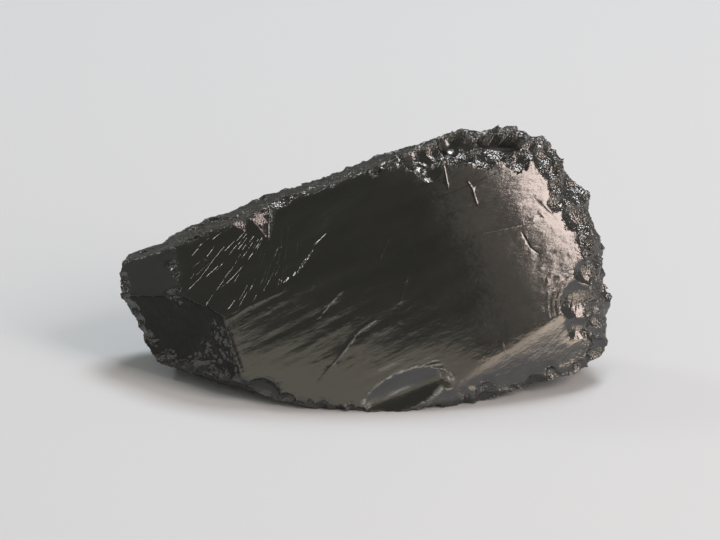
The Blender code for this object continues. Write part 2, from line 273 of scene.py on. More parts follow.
# %% The breaks of this lump
FRACTURES = [
    # the front, from the big glossy face outwards
    Fracture("big_face", (-0.8, 8.7, 12.3), (0.0, 0.05, 1.0), (80, 90), gloss=1.0),
    Fracture("lower_right", (20.0, 2.5, 9.7), (0.36, -0.17, 1.0), (80, 90), gloss=1.0),
    Fracture("upper_left", (-8.7, 12.0, 11.7), (-0.437, 0.555, 1.0), (-200, -200), gloss=0.95),
    Fracture("left_cheek", (-25.3, 8.3, 6.9), (-0.72, 0.42, 1.0), (300, 300), gloss=0.8),
    # the sides, clockwise from the left tip
    side("left_tip", (-33.5, 14.7), (-29.9, 17.6), -1.5, 8, (200, 200), 0.35),
    side("top_left", (-29.5, 16.1), (4.6, 29.1), -3.5, 11, (-110, 300), 0.4),
    side("top_rise", (4.6, 31.2), (12.2, 32.8), 0.0, 14, (300, 300), 0.5),
    Fracture("top_right", (14.0, 29.5, 5.7), (0.03, 0.784, 0.62), (150, 150), 0.8),
    side("top_corner", (21.8, 32.0), (25.9, 29.8), 0.5, 24, (200, 200), 0.6),
    side("right_upper", (26.7, 30.0), (33.0, 18.7), 0.0, 33, (300, 100), 0.7),
    side("right_lower", (32.2, 18.4), (33.8, 3.6), 0.0, 27, (200, 300), 0.6),
    side("right_foot", (34.4, 3.8), (32.8, 0.4), 4.5, -25, (100, 100), 0.4),
    Fracture("under_right", (15.1, -4.9, 9.95), (0.19, -0.93, -0.25), (900, 900), 0.4),
    Fracture("under_left", (-8.7, -5.3, 11.6), (-0.11, -0.95, -0.25), (900, 900), 0.5),
    Fracture("low_rim_right", (15.1, -4.1, 10.0), (0.22, -0.76, 0.60), (400, 400), 0.35),
    Fracture("low_rim_left", (-7.0, -5.0, 11.6), (-0.14, -0.76, 0.62), (400, 400), 0.35),
    Fracture("left_lip", (-22.0, -0.7, 6.1), (-0.46, -0.80, 0.38), (400, 400), 0.35),
    side("left_foot", (-28.8, 1.0), (-33.1, 8.2), 1.5, -20, (200, 200), 0.4),
    side("left_end", (-32.3, 7.3), (-33.5, 13.8), -1.0, -20, (200, 200), 0.4),
    # the back
    Fracture("back_top", (12.0, 28.2, -2.5), (0.0, 0.72, -0.69), (200, 90), 0.8, 1.0),
    Fracture("back_left", (-26.0, 15.5, -6.0), (-0.30, 0.35, -0.88), (150, 90), 0.5, 1.2),
    Fracture("back_right", (28.0, 14.0, -3.5), (0.50, 0.25, -0.83), (90, 90), 0.9, 0.6),
    Fracture("back_low", (2.0, 10.0, -10.5), (0.05, -0.10, -1.0), (120, 120), 0.4, 1.2),
    Fracture("base", tuple(SOLE * x for x in UP), DOWN, FLAT, gloss=0.2),
]
print(len(FRACTURES), "breaks")

# %% [markdown]
# ## Shell-shaped bites
#
# Where something struck an edge, the coal spalls off in a shallow shell with rings round
# the blow, as on chipped flint. A boolean cut for each would leave hard rims and long
# slivers. Here an egg is hung outside the lump and cut out of it along the same rays, which
# gives that hollow, and a small wave in its radius gives the rings.

# %% One bite
@dataclass
class Bite:
    """A shell-shaped bite: the near side of an egg hung outside the lump.

    turn swings the egg's first two radii about w, in degrees. ripples are the
    height of the rings that spread from its middle, ring their spacing, and rough
    is how splintered it is inside."""

    centre: tuple
    radii: tuple
    turn: float = 0.0
    ripples: float = 0.0
    ring: float = 0.8
    gloss: float = 0.9
    rough: float = 0.0


def unit(vector):
    """The same direction, one unit long."""
    vector = np.asarray(vector, float)
    return vector / np.linalg.norm(vector)


def bitten(foot, looks, width, deep, ripples=0.0, rough=0.2):
    """A round bite of the given width, sunk deep into the face that looks that way."""
    radius = (width ** 2 / 4 + deep ** 2) / (2 * deep)
    centre = np.asarray(foot) + unit(looks) * (radius - deep)
    return Bite(tuple(centre), (radius,) * 3, ripples=ripples, rough=rough)


# %% The bites of this lump
BITES = [
    # the long shallow bite in the middle of the bottom edge
    Bite((5.7, -3.4, 16.15), (12.2, 4.6, 5.0), 25.0, rough=0.03),
    # the rippled shell on the right edge, and the chips below and above it
    bitten((28.4, 8.6, 6.9), (0.45, 0.0, 0.9), 6.4, 0.9, 0.05, 0.15),
    bitten((28.8, 5.0, 6.2), (0.30, -0.1, 0.9), 3.2, 0.4, 0.03, 0.15),
    bitten((29.4, 11.9, 6.1), (0.45, 0.2, 0.8), 3.6, 0.6),
    bitten((31.2, 14.4, 3.8), (0.80, 0.1, 0.6), 3.4, 0.6, 0.0, 0.5),
    bitten((25.2, 21.4, 6.6), (0.45, 0.3, 0.8), 2.8, 0.4, 0.0, 0.4),
    bitten((27.6, 19.6, 5.2), (0.55, 0.3, 0.7), 3.2, 0.5, 0.0, 0.4),
    # the shell and its small neighbour where the top break begins
    bitten((7.4, 27.4, 8.2), (0.05, 0.5, 0.8), 4.6, 1.0, 0.05),
    bitten((8.3, 25.5, 9.0), (0.05, 0.3, 0.95), 2.2, 0.4),
    # the hollow beside them with a gleam in it, and the trough before the rear ridge
    Bite((11.6, 30.2, 7.2), (2.3, 2.6, 3.0)),
    bitten((12.4, 29.4, 5.9), (0.378, 0.243, 1.0), 1.4, 0.08, rough=0.0),
    # the trough is given the dull finish: partly its own matt coal, partly painted shade that
    # darkens it as the shade deep in the trough would
    Bite((18.0, 29.6, 5.4), (3.2, 1.1, 1.9), -4.0, gloss=0.0, rough=0.12),
    # knocks off the bottom edge
    bitten((16.2, -2.9, 9.7), (0.1, -0.5, 0.8), 2.6, 0.4, rough=0.6),
    bitten((-13.4, -2.9, 10.7), (-0.3, -0.7, 0.6), 4.2, 0.9),
    bitten((-4.2, -5.9, 11.4), (0.0, -0.7, 0.7), 2.8, 0.4),
    bitten((22.5, -2.0, 7.6), (0.3, -0.8, 0.5), 3.0, 0.6),
    # the hidden side
    bitten((-8.0, 16.0, -9.6), (-0.1, 0.3, -0.95), 11.0, 1.6),
    bitten((19.0, 17.0, -8.4), (0.4, 0.3, -0.87), 9.0, 1.6, 0.08),
    bitten((7.0, 27.5, -3.8), (0.1, 0.75, -0.65), 7.0, 1.2),
]
print(len(BITES), "bites")

# %% [markdown]
# ## Ledges
#
# Where a slab came away along two cracks it left a ledge: a floor, and a wall where the
# slab ended. On rays it needs no boolean: whichever of its two flats lies farther along a
# ray is the one that is left.

# %% Ledges
@dataclass
class Ledge:
    """A corner knocked out by two flat breaks that meet: its floor and its wall."""

    floor_at: tuple
    floor_looks: tuple
    wall_at: tuple
    wall_looks: tuple
    gloss: float = 0.9
    rough: float = 0.0


def bright_chip(foot):
    """A chip out of the upper left edge: a floor that ends at a wall on its right."""
    return Ledge(foot, (0.0, 0.85, 1.0), foot, (-0.84, 0.36, 0.42), rough=0.1)


LEDGES = [
    # the dull lower left, down one step from the big face
    Ledge(
        (-19.0, 6.4, 10.3), (-0.755, -0.35, 1.0), (-18.0, 3.0, 10.0), (-0.95, -0.28, 0.15),
        gloss=0.15, rough=0.15,
    ),
    bright_chip((-13.0, 16.7, 7.3)),
    bright_chip((-16.4, 17.6, 5.5)),
]
print(len(LEDGES), "ledges")

# %% [markdown]
# ## Where a ray meets each surface
#
# For a bowed face the meeting point solves a quadratic, and so it does for an egg. Blender
# can cast rays at a mesh, but only one at a time, and the faces would have to be meshes.
# Working on all rays at once with numpy keeps a hundred thousand points quick.

# %% Rays and bowed faces
HEART = np.array([3.0, 11.0, 2.5])  # a point well inside, from which every surface is seen
NEAR_V = 0.2                # a face that looks this near to v is laid out from w
TINY = 1e-6                 # guards a division


def across_and_up(normal):
    """Two directions in a face: the more level one, and the one square to it."""
    across = np.cross((0.0, 1.0, 0.0), normal)
    if np.linalg.norm(across) < NEAR_V:
        across = np.cross((0.0, 0.0, 1.0), normal)
    across = unit(across)
    return across, np.cross(normal, across)


def distance_to_face(at, looks, bow, rays):
    """How far along each ray from HEART a bowed face lies; infinite where it is missed."""
    normal = unit(looks)
    across, up = across_and_up(normal)
    start = HEART - np.asarray(at)
    constant = start @ normal
    slope = rays @ normal
    square = np.zeros(len(rays))
    for axis, radius in ((across, bow[0]), (up, bow[1])):
        constant = constant + (start @ axis) ** 2 / (2 * radius)
        slope = slope + (start @ axis) * (rays @ axis) / radius
        square = square + (rays @ axis) ** 2 / (2 * radius)
    inside = slope ** 2 - 4 * square * constant
    reach = slope + np.sqrt(np.maximum(inside, 0.0))
    met = (inside > 0) & (reach > TINY)
    return np.where(met, -2 * constant / np.where(met, reach, 1.0), np.inf)


def distances_to_faces(rays):
    """The same for every break of the lump, one row to each."""
    return np.stack([distance_to_face(f.at, f.looks, f.bow, rays) for f in FRACTURES])


def distance_to_ledge(ledge, rays):
    """How far along each ray the ledge lies: the farther of its floor and its wall."""
    floor = distance_to_face(ledge.floor_at, ledge.floor_looks, FLAT, rays)
    wall = distance_to_face(ledge.wall_at, ledge.wall_looks, FLAT, rays)
    return np.maximum(floor, wall)


first = distances_to_faces(np.array([(0.0, 0.0, 1.0)])).min()
print("the big face is", round(first, 1), "mm in front of the heart")

# %% Eggs, and rounded creases
CREASE = 0.06               # rounding of the edges between fractures
CREST = 0.08                # rounding of the crest between the two largest glassy faces
LEAST = 1e-300              # keeps a logarithm off nought


def distance_to_bite(bite, rays):
    """How far along each ray the near side of an egg lies; infinite where it is missed."""
    cosine, sine = math.cos(math.radians(bite.turn)), math.sin(math.radians(bite.turn))
    turn = np.array([(cosine, sine, 0.0), (-sine, cosine, 0.0), (0.0, 0.0, 1.0)])
    squash = turn / np.asarray(bite.radii)[:, None]
    offset = squash @ (np.asarray(bite.centre) - HEART)
    rays = rays @ squash.T
    square = (rays ** 2).sum(axis=1)
    along = rays @ offset
    inside = along ** 2 - square * (offset @ offset - 1.0)
    met = (inside > 0) & (along > 0)
    near = (along - np.sqrt(np.maximum(inside, 0.0))) / square
    if bite.ripples:
        aside = rays * near[:, None] - offset
        out = np.arccos(np.clip(-(aside @ unit(offset)), -1.0, 1.0)) * bite.radii[0]
        near = near + bite.ripples * np.sin(out * 2 * math.pi / bite.ring)
    return np.where(met, near, np.inf)


def soft_min(distances, rounding):
    """The nearest surface on each ray, with the creases rounded a little."""
    nearest = distances.min(axis=0)
    met = np.isfinite(nearest)
    spread = np.exp(-(distances - np.where(met, nearest, 0.0)) / rounding).sum(axis=0)
    return np.where(met, nearest - rounding * np.log(np.maximum(spread, LEAST)), np.inf)


# %% [markdown]
# ## Chips along the knocked edges
#
# The rims of real coal are never clean. Placing hundreds of chips by hand would take a day,
# and evenly spaced ones look like a saw. A seeded dice scatters small bites along each
# knocked edge, and the same chips come back every time the script runs.

# %% The knocked edges
# Each has its (u, v) points seen square to the big face, the widest chip there and how many.
KNOCKED_EDGES = [
    ([(-32.6, 13.8), (-29.2, 16.6), (-16.0, 20.4), (-4.0, 24.2), (3.6, 27.4)], 2.0, 34),
    ([(3.6, 27.0), (8.0, 27.6), (15.0, 27.4), (22.6, 27.2)], 2.6, 20),
    ([(4.0, 29.0), (9.0, 30.8), (14.0, 31.4), (21.4, 31.2), (25.0, 29.0)], 2.8, 18),
    ([(22.6, 27.2), (26.0, 22.5), (28.6, 17.6), (29.8, 12.0)], 2.4, 24),
    ([(25.6, 28.4), (30.0, 21.0), (32.2, 16.0), (32.6, 8.0), (32.2, 3.6)], 3.0, 24),
    ([(29.6, 8.0), (29.8, 4.0), (30.6, 1.6)], 2.6, 12),
    ([(30.6, 1.4), (21.5, -2.7), (15.1, -4.1), (8.0, -5.4)], 1.7, 24),
    ([(0.0, -6.0), (-8.7, -4.7), (-13.9, -3.0), (-16.9, -1.6)], 1.7, 22),
    ([(-17.4, -1.4), (-22.0, -0.2), (-27.0, 1.0), (-31.4, 7.2), (-32.8, 12.0)], 1.9, 24),
    ([(-25.3, 8.2), (-25.4, 12.0), (-25.6, 15.2)], 0.7, 14),
]
print(len(KNOCKED_EDGES), "knocked edges")

# %% Edge chips
CHIP_SEED = 4
CHIP_ROUGH = 0.5            # how splintered the chips are inside
STRAY = 0.35                # how far chips stray from the edge they belong to
CHIP_WIDTHS = (0.35, 1.0)   # smallest and widest chip, as shares of the widest there
SMALL_MORE = 1.5            # above 1, small chips outnumber wide ones
CHIP_DEPTHS = (0.08, 0.20)  # shallowest and deepest chip, as shares of its width
ASKEW = 0.5                 # how far a chip may lean
DEPTHS = np.linspace(14.0, -6.0, 161)   # from well in front of the lump to behind its middle


def along(line, share):
    """The point a share of the way along a line of (u, v) points."""
    line = np.asarray(line)
    legs = np.linalg.norm(np.diff(line, axis=0), axis=1)
    walked = np.concatenate([(0.0,), np.cumsum(legs)]) / legs.sum()
    return np.interp(share, walked, line[:, 0]), np.interp(share, walked, line[:, 1])


def surface_under(u, v):
    """The front of the smooth lump at (u, v), by trying depths and keeping the outermost."""
    points = np.column_stack([np.full_like(DEPTHS, u), np.full_like(DEPTHS, v), DEPTHS])
    reach = np.linalg.norm(points - HEART, axis=1)
    rays = (points - HEART) / reach[:, None]
    cuts = [distance_to_ledge(ledge, rays) for ledge in LEDGES]
    spare = np.minimum(distances_to_faces(rays).min(axis=0), np.min(cuts, axis=0)) - reach
    return points[np.argmax(spare > 0)] if (spare > 0).any() else points[np.argmax(spare)]


def edge_chips():
    """Small bites scattered along the knocked edges."""
    dice = random.Random(CHIP_SEED)
    chips = []
    for line, widest, count in KNOCKED_EDGES:
        for k in range(count):
            share = (k + dice.uniform(0.0, 1.0)) / count
            u, v = along(line, share)
            foot = surface_under(u + dice.gauss(0, STRAY), v + dice.gauss(0, STRAY))
            width = widest * dice.uniform(*CHIP_WIDTHS) ** SMALL_MORE
            lean = [dice.uniform(-ASKEW, ASKEW) for _ in range(3)]
            looks = unit(foot - HEART) + lean
            deep = width * dice.uniform(*CHIP_DEPTHS)
            chips.append(bitten(foot, looks, width, deep, rough=CHIP_ROUGH))
    return chips


CHIPS = edge_chips()
print(len(CHIPS), "edge chips")

# %% [markdown]
# ## Crushed coal
#
# Where coal is crushed it parts into small shells at odd tilts, with finer ones on them.
# Plain noise gives soft hills, which look like clay. Voronoi cells give the outlines of the
# scars, a random tilt slants each of them, and keeping the lowest of the neighbours makes
# them meet in sharp ridges.

# %% Scars and splinters
SHARD = 1.7                 # width of a typical flake scar on a crushed face
SPLINTER = 0.55             # width of the splinters along the rims
SMALLER = 2.3               # how much finer the scars within the scars are
LEVEL = 0.45                # how unequal the scars' depths are
TILT = 1.0                  # how far they slant
HOLLOW = 0.35               # how hollow each is
PROUD = 0.35                # lifts the scars, so that their middle height is about nought
TOSS = 7.0                  # gives each scar's middle a cell of its own to draw its tilt from
PATCHES = 0.22              # patches that are more, or less, crushed, to each shard
CRUSHING = (0.75, 1.6)      # how crushed a patch is: on average, and how much it varies
MILD, SEVERE = 0.2, 1.25    # the least and most crushed a patch can be
ROLL = (0.9, 0.35)          # height of the slow swell underneath, and swells to each shard
HALF = Vector((0.5, 0.5, 0.5))


def swell(points):
    """Smooth noise between about -0.5 and 0.5, with swells about one unit long."""
    return np.array([noise.noise(point) for point in points.tolist()])


def flake_scars(points):
    """Flake scars about one unit wide: shallow shells at odd tilts that meet in ridges."""
    height = np.empty(len(points))
    for i, point in enumerate(points.tolist()):
        here = Vector(point)
        lowest = math.inf
        for centre in noise.voronoi(point, distance_metric="DISTANCE")[1]:
            tilt = noise.cell_vector(centre * TOSS) - HALF
            out = here - centre
            scar = LEVEL * tilt.x + TILT * tilt.dot(out) + HOLLOW * out.length_squared
            lowest = min(lowest, scar)
        height[i] = lowest
    return height


def crushed(points):
    """Height of the crushed coal at each point: large and small flake scars, in mm."""
    points = points / SHARD
    average, varies = CRUSHING
    patch = np.clip(average + varies * swell(points * PATCHES), MILD, SEVERE)
    scars = flake_scars(points) + flake_scars(points * SMALLER) / SMALLER
    return SHARD * (scars + PROUD) * patch + ROLL[0] * swell(points * ROLL[1])


def splinters(points):
    """Height of the finest breakage, in mm: sharp splinters with finer ones on them."""
    points = points / SPLINTER
    return SPLINTER * (flake_scars(points) + flake_scars(points * SMALLER) / SMALLER + PROUD)


# %% [markdown]
# ## Bedding
#
# Coal was laid down in beds, and a broken back parts a little farther out on one bed than
# on the next, which gives terraces. A loop walks through the beds from one side of the lump
# to the other and throws a new level for each.

# %% Beds
BEDDING = (-0.45, 0.85, 0.26)   # square to the layers the coal was laid down in
LAYERS = (1.3, 3.4)         # thinnest and thickest layer that weathers as one
PROTRUDES = 0.5             # how far a layer may stand proud or sit back
RISER = 0.25                # width of the step between two layers
REACH_OF_BEDS = (-45.0, 50.0)   # where the layers begin and end
BED_SEED = 8


def layers(points):
    """How far each point's layer stands proud, in mm, with narrow risers between."""
    dice = random.Random(BED_SEED)
    across = points @ unit(BEDDING)
    height = np.zeros(len(points))
    level, here = 0.0, REACH_OF_BEDS[0]
    while here < REACH_OF_BEDS[1]:
        following = dice.uniform(-PROTRUDES, PROTRUDES)
        height = height + (following - level) * np.clip((across - here) / RISER, 0.0, 1.0)
        level = following
        here += dice.uniform(*LAYERS)
    return height


print("beds", LAYERS[0], "to", LAYERS[1], "mm thick")

# %% [markdown]
# ## Tears
#
# The glassy faces are not blank: the crack that made them left fine raised lines where it
# tore. A bump map would draw them too, but on a mirror a ridge the height of a hair shows
# in the reflections, so they are real relief, a few hundredths of a millimetre high. A tear
# is a lip along a line, a small step across it, or both.

# %% One tear
TAPER = 6.0                 # how soon a tear reaches its full height from either end


@dataclass
class Tear:
    """A line where the coal tore: its (u, v) points, the width and height of its lip, and
    how far the left of the line stands above the right, fading over the length fade."""

    line: list
    width: float = 0.09
    lip: float = 0.0
    step: float = 0.0
    fade: float = 1.2


def beside(points, line):
    """Each point's signed distance from a line of (u, v) points, left being positive, and
    the share of the way along it."""
    line = np.asarray(line, float)
    legs = np.diff(line, axis=0)
    lengths = np.linalg.norm(legs, axis=1)
    nearest = np.full(len(points), np.inf)
    signed, share = np.zeros(len(points)), np.zeros(len(points))
    walked = 0.0
    for start, leg, length in zip(line, legs, lengths):
        offset = points[:, :2] - start
        part = np.clip(offset @ leg / length ** 2, 0.0, 1.0)
        away = np.linalg.norm(offset - part[:, None] * leg, axis=1)
        closer = away < nearest
        left = np.sign(leg[0] * offset[:, 1] - leg[1] * offset[:, 0])
        nearest = np.where(closer, away, nearest)
        signed = np.where(closer, away * left, signed)
        share = np.where(closer, (walked + part * length) / lengths.sum(), share)
        walked += length
    return signed, share


def torn(points, tears):
    """Height of the tears at each point, in mm. Each line thins out towards its ends."""
    height = np.zeros(len(points))
    for tear in tears:
        signed, share = beside(points, tear.line)
        ends = np.clip(TAPER * share * (1 - share), 0.0, 1.0)
        lip = tear.lip * np.exp(-((signed / tear.width) ** 2))
        ramp = np.clip(signed / tear.width, -1.0, 1.0)
        step = 0.5 * tear.step * ramp * np.exp(-np.abs(signed) / tear.fade)
        height = height + (lip + step) * ends
    return height


# %% The tears of this lump
BIG_FACE_TEARS = [
    Tear([(1.3, 6.1), (-0.9, 4.7), (-3.3, 1.5), (-4.7, -0.1), (-7.1, -2.9)], lip=0.08, step=-0.05),
    Tear([(-2.9, 10.2), (-4.6, 8.4), (-6.3, 6.3)], lip=0.05, step=-0.04),
    Tear([(10.4, 26.5), (11.0, 23.3)], lip=0.05),
    Tear([(13.4, 24.7), (14.2, 23.5), (14.9, 21.1)], lip=0.07, step=0.03),
    Tear([(9.1, 14.9), (15.0, 17.5), (20.7, 18.7), (24.5, 20.4)], lip=-0.03),
    Tear([(7.1, 21.3), (13.0, 23.6), (19.6, 26.5)], 0.07, lip=0.025),
    Tear([(4.5, 17.2), (11.5, 20.2), (20.3, 23.2)], 0.07, lip=0.025),
    Tear([(11.1, 14.0), (14.5, 16.1), (19.0, 18.0)], 0.07, lip=0.02),
    Tear([(1.8, 12.0), (4.0, 15.4), (7.1, 18.0)], 0.07, lip=0.02),
    Tear([(22.4, 22.4), (25.0, 20.0)], lip=-0.06),
    Tear([(20.7, 17.9), (22.0, 15.7), (23.4, 14.7)], lip=-0.06, step=0.04),
    Tear([(5.7, 12.6), (4.3, 7.7)], lip=0.03),
    Tear([(3.2, 17.3), (1.6, 13.6)], lip=0.04),
    Tear([(18.0, 3.4), (19.3, -0.6)], lip=0.05),
    Tear([(0.0, -3.1), (0.5, -5.1)], lip=0.06),
    # the lip along the crest between the big face and the upper left
    Tear([(-18.9, 5.9), (-17.3, 6.7), (-15.5, 7.9), (-10.7, 10.0)], 0.10, lip=0.09, step=-0.10),
    # the crack down to the lower rim, beside the dull corner
    Tear([(-18.6, 5.8), (-17.3, 2.2), (-16.3, -0.8)], 0.13, lip=-0.16),
]

# the bright jagged step where the crest is torn, seen on both faces that meet there
CREST_TEARS = [
    Tear([(-10.8, 10.9), (-10.1, 11.9)], 0.20, step=-0.18, fade=0.8),
    Tear([(-9.7, 11.8), (-9.2, 12.5)], 0.18, step=-0.16, fade=0.8),
    Tear([(-9.1, 12.2), (-8.4, 13.3)], 0.24, step=-0.21, fade=0.8),
    Tear([(-8.6, 12.9), (-8.1, 13.7), (-7.6, 14.3)], 0.27, step=-0.23, fade=0.8),
    Tear([(-7.8, 13.9), (-7.3, 14.6), (-6.8, 15.4)], 0.18, step=-0.15, fade=0.8),
    Tear([(-6.8, 15.6), (-5.6, 16.8), (-4.8, 17.5)], 0.12, lip=0.03),
]

# small slanted breaks beside the long bite, which face the window
GLEAMS = [
    Tear([(11.3, -3.2), (9.7, -1.6)], 0.6, step=0.51, fade=0.8),
    Tear([(14.7, -3.15), (13.5, -2.8)], 0.35, step=0.34, fade=0.5),
]
print(len(BIG_FACE_TEARS + CREST_TEARS + GLEAMS), "tears")

# %% [markdown]
# ## The fan of hackles
#
# Where the crack slowed and turned, on the upper left, it left a fan of short curved ridges
# called hackles. The clear ones are placed one by one, each with a strength. Between them
# lie many faint ones, which only have to spread from the same point, so dice place those.

# %% The clear hackles
CLEAR_HACKLES = [
    ([(-21.9, 16.4), (-23.7, 14.2)], 0.5),
    ([(-20.2, 16.2), (-22.0, 13.5)], 0.4),
    ([(-18.6, 16.4), (-19.9, 14.8), (-20.6, 13.7), (-22.3, 11.4), (-24.5, 9.3)], 1.0),
    ([(-19.5, 13.5), (-20.2, 12.8), (-21.6, 11.5)], 0.5),
    ([(-16.4, 15.3), (-17.7, 13.1), (-18.8, 11.7), (-19.6, 10.4), (-21.3, 7.9), (-22.1, 6.7)], 1.0),
    ([(-16.2, 13.4), (-17.3, 12.2), (-18.5, 10.9), (-20.4, 9.5)], 0.8),
    ([(-14.6, 16.2), (-15.0, 15.0), (-15.8, 13.8)], 0.5),
    ([(-13.7, 15.6), (-14.2, 14.0)], 0.3),
    ([(-11.7, 14.1), (-12.5, 11.9), (-13.7, 9.7)], 0.9),
    ([(-11.4, 13.4), (-12.1, 11.7)], 0.5),
    ([(-10.2, 18.7), (-10.4, 16.5), (-10.5, 14.8), (-10.9, 13.8)], 0.6),
    ([(-11.2, 18.4), (-11.3, 15.6), (-11.1, 14.4)], 0.4),
    ([(-9.0, 16.2), (-8.9, 14.7)], 0.4),
    ([(-17.3, 8.9), (-17.9, 7.9), (-18.8, 6.8)], 0.7),
    ([(-16.7, 7.9), (-17.6, 7.0)], 0.5),
    ([(-23.0, 12.3), (-23.6, 11.3)], 0.6),
    ([(-15.8, 16.6), (-17.0, 14.4), (-17.3, 13.5)], 0.5),
    ([(-17.3, 16.2), (-18.5, 14.4)], 0.5),
]
print(len(CLEAR_HACKLES), "clear hackles")

# %% The faint hackles between them
FAN_ORIGIN = (-9.5, 27.0)
FAN = (4.0, 58.0)           # from straight down, swinging left, in degrees
FAN_GAPS = (0.8, 2.2)       # least and most between two hackles, in degrees
FAN_STARTS = (10.0, 18.0)   # how far from the origin they begin
FAN_LENGTHS = (1.5, 4.0)
CURL = 0.3                  # how much they swing on their way, in degrees to the millimetre
FAINT = 0.5                 # strength of the clearest of the faint ones
FAINTEST = 0.4              # the weakest, as a share of that
HACKLE_SEED = 11
HACKLE_WIDTH = 0.10
HACKLE_LIP = (0.03, 0.06)   # height of the weakest, and how much strength adds
HACKLE_STEP = (0.03, 0.09)  # the same for the step across it
HACKLE_FADE = 0.6


def faint_hackles():
    """Short lines that spread from one point, scattered by seeded dice."""
    dice = random.Random(HACKLE_SEED)
    lines = []
    angle = FAN[0]
    while angle < FAN[1]:
        near = dice.uniform(*FAN_STARTS)
        far = near + dice.uniform(*FAN_LENGTHS)
        line = []
        for out in (near, (near + far) / 2, far):
            swing = math.radians(angle + CURL * (out - near))
            u, v = out * math.sin(swing), out * math.cos(swing)
            line.append((FAN_ORIGIN[0] - u, FAN_ORIGIN[1] - v))
        lines.append((line, FAINT * dice.uniform(FAINTEST, 1.0)))
        angle += dice.uniform(*FAN_GAPS)
    return lines


def hackle(line, strength):
    """A hackle as a tear, higher the stronger it is."""
    lip = HACKLE_LIP[0] + HACKLE_LIP[1] * strength
    step = HACKLE_STEP[0] + HACKLE_STEP[1] * strength
    return Tear(line, HACKLE_WIDTH, lip=lip, step=step, fade=HACKLE_FADE)


HACKLES = [hackle(*each) for each in CLEAR_HACKLES + faint_hackles()]
print(len(HACKLES), "hackles")

# %% [markdown]
# ## Streaks, crinkles and rings
#
# The beds show even on the mirror, as faint streaks that all slant the same way. At the
# right the face is crinkled, and rings spread from the two hardest blows. All three are
# noise or a wave with its space squeezed: long one way and narrow the other for a streak,
# folded at nought for a crinkle, and wrapped round a point for a ring.

# %% Streaks along the beds
BED_TILT = math.radians(28.0)
STREAKED = ((-8.0, 6.5), (13.0, 8.0))   # the patch where they are strongest, as in_patch
ELSEWHERE = 0.25            # how strong they are outside it
STREAKS = [                 # length, width and height of each kind, and where its noise starts
    (14.0, 0.5, 0.05, 0.0),
    (6.0, 0.3, 0.035, 9.0),
]
STREAK_DEPTH = 5.0          # how far a streak reaches into the lump


def in_patch(points, middle, radii, edge=0.5):
    """1 inside an oval patch of the drawing, easing to 0 outside it."""
    u, v = points[:, 0] - middle[0], points[:, 1] - middle[1]
    out = np.hypot(u / radii[0], v / radii[1])
    return np.clip((1 + edge - out) / (2 * edge), 0.0, 1.0)


def streaks(points):
    """Faint ridges along the beds, strongest at the lower left of the big face."""
    u, v, w = points.T
    cosine, sine = math.cos(BED_TILT), math.sin(BED_TILT)
    lengthwise, across = u * cosine + v * sine, v * cosine - u * sine
    height = np.zeros(len(points))
    for length, width, tall, start in STREAKS:
        squeezed = [lengthwise / length, across / width, w / STREAK_DEPTH + start]
        height = height + tall * swell(np.column_stack(squeezed))
    return height * (ELSEWHERE + in_patch(points, *STREAKED))


print("streaks slant", round(math.degrees(BED_TILT)), "degrees")

# %% Crinkles, and rings round the blows
CRINKLED = ((27.5, 18.5), (6.8, 11.0), 0.35)    # the patch that they crowd, as in_patch
CRINKLE = (0.7, 1.3, 4.0)   # their size across, up and into the lump
WARP = 2.5                  # size of the swell that bends them
BENT = (1.0, 1.5)           # how far it bends them across and up
CRINKLE_DEPTH = 0.07

# Where a blow landed, the rings that spread from it: the middle, the first and last radius,
# the spacing and the height, all in mm
RINGS = [
    ((9.6, -2.5), 1.5, 4.2, 0.55, 0.030),
    ((29.6, 8.0), 2.8, 6.6, 0.65, 0.050),
]
RINGS_RISE, RINGS_FALL = 0.3, 2.0   # over what length they begin, and die away


def crinkles(points):
    """Fine wrinkles that crowd the right of the big face."""
    u, v, w = points.T
    warp = swell(np.column_stack([u / WARP, v / WARP, w]))
    across, up = u / CRINKLE[0] + BENT[0] * warp, v / CRINKLE[1] + BENT[1] * warp
    ridge = np.abs(swell(np.column_stack([across, up, w / CRINKLE[2]])))
    return -CRINKLE_DEPTH * ridge * in_patch(points, *CRINKLED)


def rings(points):
    """Ripples round the two hardest blows, as on chipped glass."""
    height = np.zeros(len(points))
    for (u, v), first, last, spacing, tall in RINGS:
        out = np.hypot(points[:, 0] - u, points[:, 1] - v)
        begun = np.clip((out - first) / RINGS_RISE, 0.0, 1.0)
        fade = begun * np.clip((last - out) / RINGS_FALL, 0.0, 1.0)
        height = height + tall * fade * np.sin(out * 2 * math.pi / spacing)
    return height


print(len(RINGS), "sets of rings")

# %% [markdown]
# ## The relief of each glassy face
#
# No cleaved face is quite flat, so under its own marks each one rolls a little, in long
# swells with short ones on them. The upper left also has a soft shoulder beside the torn
# part of the crest. The marks are summed face by face, because a mark that ran over an edge
# onto the next face would look painted on.

# %% What each face carries
ROLLING = {                 # (height, length) of the long swells and of the short ones
    "big_face": ((0.08, 5.0), (0.02, 1.6)),
    "upper_left": ((0.10, 4.0), (0.03, 1.2)),
    "left_cheek": ((0.08, 2.5), (0.02, 0.8)),
    "lower_right": ((0.04, 2.0),),
}
SHOULDER = (-4.6, 16.4)     # its middle
SHOULDER_RADII = (5.0, 3.0)
SHOULDER_ALONG = (0.8, 0.6)     # the way its long radius runs
SHOULDER_HEIGHT = 0.4
LOWER_STREAKS = 0.15        # how strong the streaks are on the lower right face


def rolling(face, points):
    """The swells of the named face."""
    return sum(tall * swell(points / length) for tall, length in ROLLING[face])


def shoulder(points):
    """A soft oval rise."""
    u, v = points[:, 0] - SHOULDER[0], points[:, 1] - SHOULDER[1]
    (x, y), (long, short) = SHOULDER_ALONG, SHOULDER_RADII
    out = -((u * x + v * y) / long) ** 2 - ((v * x - u * y) / short) ** 2
    return SHOULDER_HEIGHT * np.exp(out)


